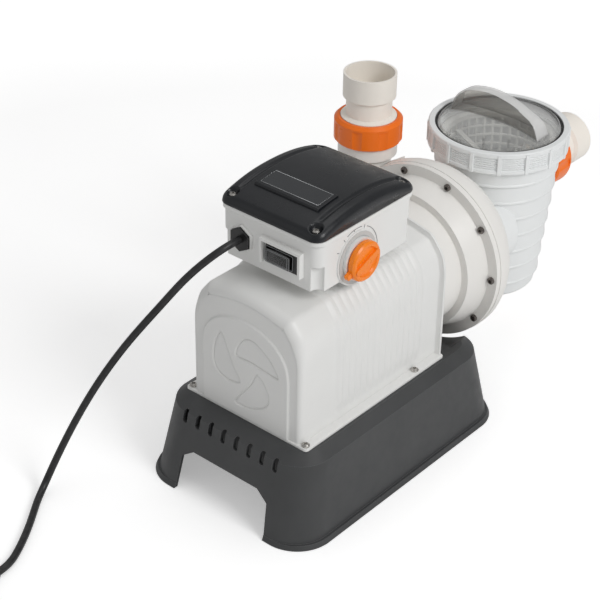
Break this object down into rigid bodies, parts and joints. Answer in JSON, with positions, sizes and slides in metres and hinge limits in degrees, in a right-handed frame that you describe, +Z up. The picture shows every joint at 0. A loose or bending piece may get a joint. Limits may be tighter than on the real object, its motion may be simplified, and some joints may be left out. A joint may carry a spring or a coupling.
{
  "type": "pool pump",
  "caption": "Electric pool filter pump: shaft motor under a ribbed cover, volute with strainer pot, union hose tails and a timer control box on a hollow base.",
  "frame": {"origin": "on the floor under the middle of the base, at the foot of its centre post", "axes": "+Z up along the outlet hose tail, +Y along the shaft from the fan towards the strainer and the inlet hose tail, +X to the side of the timer knob"},
  "size_m": [0.2444, 0.8095, 0.3003],
  "materials": {
    "base_plastic": "matte",
    "housing_plastic": "satin",
    "control_plastic": "satin",
    "orange_plastic": "satin",
    "pump_plastic": "satin",
    "pot_plastic": "satin",
    "clear_plastic": "clear",
    "basket_plastic": "satin",
    "black_plastic": "satin",
    "grey_plastic": "satin",
    "union_plastic": "satin",
    "seal_rubber": "matte",
    "cable_rubber": "satin",
    "bright_steel": "satin",
    "dark_steel": "oxide",
    "core_steel": "laminated",
    "cast_alloy": "as cast",
    "copper": "enamelled wire",
    "brass": "bright",
    "seal_ceramic": "polished"
  },
  "bodies": {
    "frame": {"base": "base_plastic", "motor_cover": "housing_plastic", "cover_screws": "bright_steel", "motor_cradle": "seal_rubber", "cradle_screws": "bright_steel", "stator_core": "core_steel", "stator_windings": "copper", "front_bell": "cast_alloy", "rear_bell": "cast_alloy", "tie_bolts": "bright_steel", "front_bearing": "bright_steel", "rear_bearing": "bright_steel", "motor_adapter": "cast_alloy", "bracket_screws": "bright_steel", "pump_bracket": "pump_plastic", "seal_seat": "seal_ceramic", "volute_casing": "pump_plastic", "volute_oring": "seal_rubber", "suction_gasket": "seal_rubber", "volute_bolts": "dark_steel", "strainer_pot": "pot_plastic", "outlet_seal": "seal_rubber", "inlet_seal": "seal_rubber", "control_box": "housing_plastic", "control_lid": "control_plastic", "lid_gasket": "seal_rubber", "lid_screws": "bright_steel", "capacitor": "black_plastic", "terminal_block": "grey_plastic", "motor_leads": "copper", "box_screws": "bright_steel", "timer_module": "grey_plastic", "timer_dial": "grey_plastic", "switch_body": "black_plastic", "gland_body": "black_plastic", "gland_seal": "seal_rubber", "gland_nut": "black_plastic", "power_cable": "cable_rubber", "plug_body": "black_plastic", "plug_pins": "brass"},
    "rotor": {"motor_shaft": "bright_steel", "rotor_core": "core_steel", "cooling_fan": "black_plastic", "seal_rotary": "seal_ceramic", "seal_spring": "bright_steel", "impeller": "black_plastic", "impeller_nut": "brass"},
    "knob": {"timer_knob": "orange_plastic"},
    "rocker": {"switch_rocker": "black_plastic"},
    "lid": {"clear_lid": "clear_plastic", "lid_oring": "seal_rubber"},
    "collar": {"lock_collar": "pot_plastic"},
    "basket": {"strainer_basket": "basket_plastic", "basket_handle": "basket_plastic"},
    "outlet_cuff": {"outlet_tail": "union_plastic"},
    "outlet_ring": {"outlet_nut": "orange_plastic"},
    "inlet_cuff": {"inlet_tail": "union_plastic"},
    "inlet_ring": {"inlet_nut": "orange_plastic"}
  },
  "joints": [
    {"name": "rotor_spin", "type": "hinge", "parent": "frame", "child": "rotor", "pos_m": [0, 0, 0.1505], "axis": [0, 1, 0], "continuous": true},
    {"name": "timer_turn", "type": "hinge", "parent": "frame", "child": "knob", "pos_m": [0.062, -0.0355, 0.2425], "axis": [-1, 0, 0], "range_deg": [0, 270]},
    {"name": "switch_rock", "type": "hinge", "parent": "frame", "child": "rocker", "pos_m": [0.013, -0.082, 0.2466], "axis": [0, 0, 1], "range_deg": [0, 10]},
    {"name": "lid_lift", "type": "slide", "parent": "frame", "child": "lid", "axis": [0, 0, 1], "range_m": [0, 0.18]},
    {"name": "collar_turn", "type": "hinge", "parent": "lid", "child": "collar", "pos_m": [0, 0.256, 0.24], "axis": [0, 0, 1], "range_deg": [0, 270]},
    {"name": "basket_lift", "type": "slide", "parent": "frame", "child": "basket", "axis": [0, 0, 1], "range_m": [0, 0.09]},
    {"name": "outlet_pull", "type": "slide", "parent": "frame", "child": "outlet_cuff", "axis": [0, 0, 1], "range_m": [0, 0.04]},
    {"name": "outlet_nut_turn", "type": "hinge", "parent": "outlet_cuff", "child": "outlet_ring", "pos_m": [-0.0954, 0.168, 0.24], "axis": [0, 0, 1], "range_deg": [0, 720]},
    {"name": "inlet_pull", "type": "slide", "parent": "frame", "child": "inlet_cuff", "axis": [0, 1, 0], "range_m": [0, 0.04]},
    {"name": "inlet_nut_turn", "type": "hinge", "parent": "inlet_cuff", "child": "inlet_ring", "pos_m": [0, 0.335, 0.18], "axis": [0, 1, 0], "range_deg": [0, 720]}
  ],
  "couplings": [
    {"joint": "basket_lift", "follows": "lid_lift", "ratio": 0.5}
  ]
}
